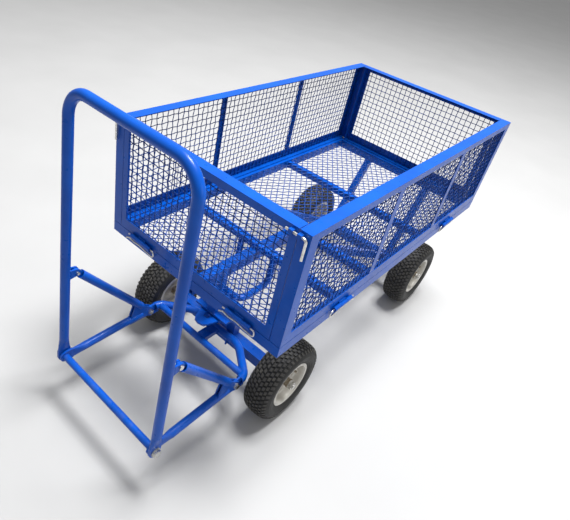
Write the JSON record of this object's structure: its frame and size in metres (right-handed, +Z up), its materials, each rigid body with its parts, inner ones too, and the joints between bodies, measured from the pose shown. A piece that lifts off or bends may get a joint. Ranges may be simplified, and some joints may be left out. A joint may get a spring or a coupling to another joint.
{
  "type": "tow behind cart",
  "caption": "Four-wheeled mesh utility cart with fold-down panels, a steered turntable front axle and a fold-down U handle.",
  "frame": {"origin": "on the ground, under the middle of the tray", "axes": "+X forward towards the handle, +Y to the cart's left, +Z up"},
  "size_m": [1.8732, 0.8328, 1.176],
  "materials": {
    "blue_paint": "gloss",
    "mesh_paint": "gloss",
    "rim_paint": "satin",
    "tyre": "matte",
    "hub_steel": "satin",
    "zinc": "satin",
    "bolt_steel": "satin"
  },
  "bodies": {
    "chassis": {"deck_frame": "blue_paint", "deck_mesh": "mesh_paint", "deck_hinge_tubes": "blue_paint", "axle_beam_rear": "blue_paint", "axle_shafts_rear": "bolt_steel", "rear_axle_stays": "blue_paint", "turntable_support": "blue_paint", "kingpin": "bolt_steel"},
    "panel_left": {"panel_frame_left": "blue_paint", "panel_mesh_left": "mesh_paint"},
    "panel_right": {"panel_frame_right": "blue_paint", "panel_mesh_right": "mesh_paint"},
    "panel_front": {"panel_frame_front": "blue_paint", "panel_mesh_front": "mesh_paint"},
    "panel_rear": {"panel_frame_rear": "blue_paint", "panel_mesh_rear": "mesh_paint"},
    "clip_left_1": {"r_clip_left_1": "zinc"},
    "clip_left_2": {"r_clip_left_2": "zinc"},
    "clip_right_1": {"r_clip_right_1": "zinc"},
    "clip_right_2": {"r_clip_right_2": "zinc"},
    "clip_front_1": {"r_clip_front_1": "zinc"},
    "clip_front_2": {"r_clip_front_2": "zinc"},
    "clip_rear_1": {"r_clip_rear_1": "zinc"},
    "clip_rear_2": {"r_clip_rear_2": "zinc"},
    "latch_front_left": {"latch_rod_front_left": "zinc"},
    "latch_front_right": {"latch_rod_front_right": "zinc"},
    "latch_rear_left": {"latch_rod_rear_left": "zinc"},
    "latch_rear_right": {"latch_rod_rear_right": "zinc"},
    "steering": {"turntable_plate": "blue_paint", "turntable_posts": "blue_paint", "axle_beam_front": "blue_paint", "axle_shafts_front": "bolt_steel", "drawbar_loop": "blue_paint", "drawbar_cross_tube": "blue_paint", "drawbar_tongue": "blue_paint"},
    "tow_frame": {"lower_links": "blue_paint", "upper_links": "blue_paint", "foot_cross_tube": "blue_paint", "link_gussets": "blue_paint", "drawbar_pivot_bolts": "bolt_steel"},
    "handle": {"handle_tube": "blue_paint", "handle_clevises": "blue_paint", "foot_bolts": "bolt_steel"},
    "pin_left": {"clevis_pin_left": "zinc"},
    "pin_right": {"clevis_pin_right": "zinc"},
    "wheel_front_left": {"tyre_front_left": "tyre", "rim_front_left": "rim_paint", "hub_front_left": "hub_steel"},
    "wheel_front_right": {"tyre_front_right": "tyre", "rim_front_right": "rim_paint", "hub_front_right": "hub_steel"},
    "wheel_rear_left": {"tyre_rear_left": "tyre", "rim_rear_left": "rim_paint", "hub_rear_left": "hub_steel"},
    "wheel_rear_right": {"tyre_rear_right": "tyre", "rim_rear_right": "rim_paint", "hub_rear_right": "hub_steel"}
  },
  "joints": [
    {"name": "panel_left_fold", "type": "hinge", "parent": "chassis", "child": "panel_left", "pos_m": [0, 0.4084, 0.561], "axis": [1, 0, 0], "range_deg": [-180, 0]},
    {"name": "panel_right_fold", "type": "hinge", "parent": "chassis", "child": "panel_right", "pos_m": [0, -0.4084, 0.561], "axis": [1, 0, 0], "range_deg": [0, 180]},
    {"name": "panel_front_fold", "type": "hinge", "parent": "chassis", "child": "panel_front", "pos_m": [0.7684, 0, 0.561], "axis": [0, 1, 0], "range_deg": [0, 38]},
    {"name": "panel_rear_fold", "type": "hinge", "parent": "chassis", "child": "panel_rear", "pos_m": [-0.7684, 0, 0.561], "axis": [0, -1, 0], "range_deg": [0, 180]},
    {"name": "clip_left_1_pull", "type": "slide", "parent": "chassis", "child": "clip_left_1", "axis": [1, 0, 0], "range_m": [0, 0.12]},
    {"name": "clip_left_2_pull", "type": "slide", "parent": "chassis", "child": "clip_left_2", "axis": [1, 0, 0], "range_m": [0, 0.12]},
    {"name": "clip_right_1_pull", "type": "slide", "parent": "chassis", "child": "clip_right_1", "axis": [1, 0, 0], "range_m": [0, 0.12]},
    {"name": "clip_right_2_pull", "type": "slide", "parent": "chassis", "child": "clip_right_2", "axis": [1, 0, 0], "range_m": [0, 0.12]},
    {"name": "clip_front_1_pull", "type": "slide", "parent": "chassis", "child": "clip_front_1", "axis": [0, 1, 0], "range_m": [0, 0.12]},
    {"name": "clip_front_2_pull", "type": "slide", "parent": "chassis", "child": "clip_front_2", "axis": [0, 1, 0], "range_m": [0, 0.12]},
    {"name": "clip_rear_1_pull", "type": "slide", "parent": "chassis", "child": "clip_rear_1", "axis": [0, 1, 0], "range_m": [0, 0.12]},
    {"name": "clip_rear_2_pull", "type": "slide", "parent": "chassis", "child": "clip_rear_2", "axis": [0, 1, 0], "range_m": [0, 0.12]},
    {"name": "latch_front_left_pull", "type": "slide", "parent": "panel_left", "child": "latch_front_left", "axis": [0, 1, 0], "range_m": [0, 0.035]},
    {"name": "latch_front_right_pull", "type": "slide", "parent": "panel_right", "child": "latch_front_right", "axis": [0, -1, 0], "range_m": [0, 0.035]},
    {"name": "latch_rear_left_pull", "type": "slide", "parent": "panel_left", "child": "latch_rear_left", "axis": [0, 1, 0], "range_m": [0, 0.035]},
    {"name": "latch_rear_right_pull", "type": "slide", "parent": "panel_right", "child": "latch_rear_right", "axis": [0, -1, 0], "range_m": [0, 0.035]},
    {"name": "steering_turn", "type": "hinge", "parent": "chassis", "child": "steering", "pos_m": [0.52, 0, 0.3], "axis": [0, 0, 1], "range_deg": [-70, 70]},
    {"name": "tow_frame_lift", "type": "hinge", "parent": "steering", "child": "tow_frame", "pos_m": [0.705, 0, 0.1975], "axis": [0, -1, 0], "range_deg": [0, 6]},
    {"name": "handle_fold", "type": "hinge", "parent": "tow_frame", "child": "handle", "pos_m": [1.074, 0, 0.19], "axis": [0, 1, 0], "range_deg": [0, 102]},
    {"name": "pin_left_pull", "type": "slide", "parent": "handle", "child": "pin_left", "axis": [0, 1, 0], "range_m": [0, 0.04]},
    {"name": "pin_right_pull", "type": "slide", "parent": "handle", "child": "pin_right", "axis": [0, -1, 0], "range_m": [0, 0.04]},
    {"name": "wheel_front_left_spin", "type": "hinge", "parent": "steering", "child": "wheel_front_left", "pos_m": [0.52, 0.316, 0.165], "axis": [0, 1, 0], "continuous": true},
    {"name": "wheel_front_right_spin", "type": "hinge", "parent": "steering", "child": "wheel_front_right", "pos_m": [0.52, -0.316, 0.165], "axis": [0, 1, 0], "continuous": true},
    {"name": "wheel_rear_left_spin", "type": "hinge", "parent": "chassis", "child": "wheel_rear_left", "pos_m": [-0.53, 0.316, 0.165], "axis": [0, 1, 0], "continuous": true},
    {"name": "wheel_rear_right_spin", "type": "hinge", "parent": "chassis", "child": "wheel_rear_right", "pos_m": [-0.53, -0.316, 0.165], "axis": [0, 1, 0], "continuous": true}
  ]
}
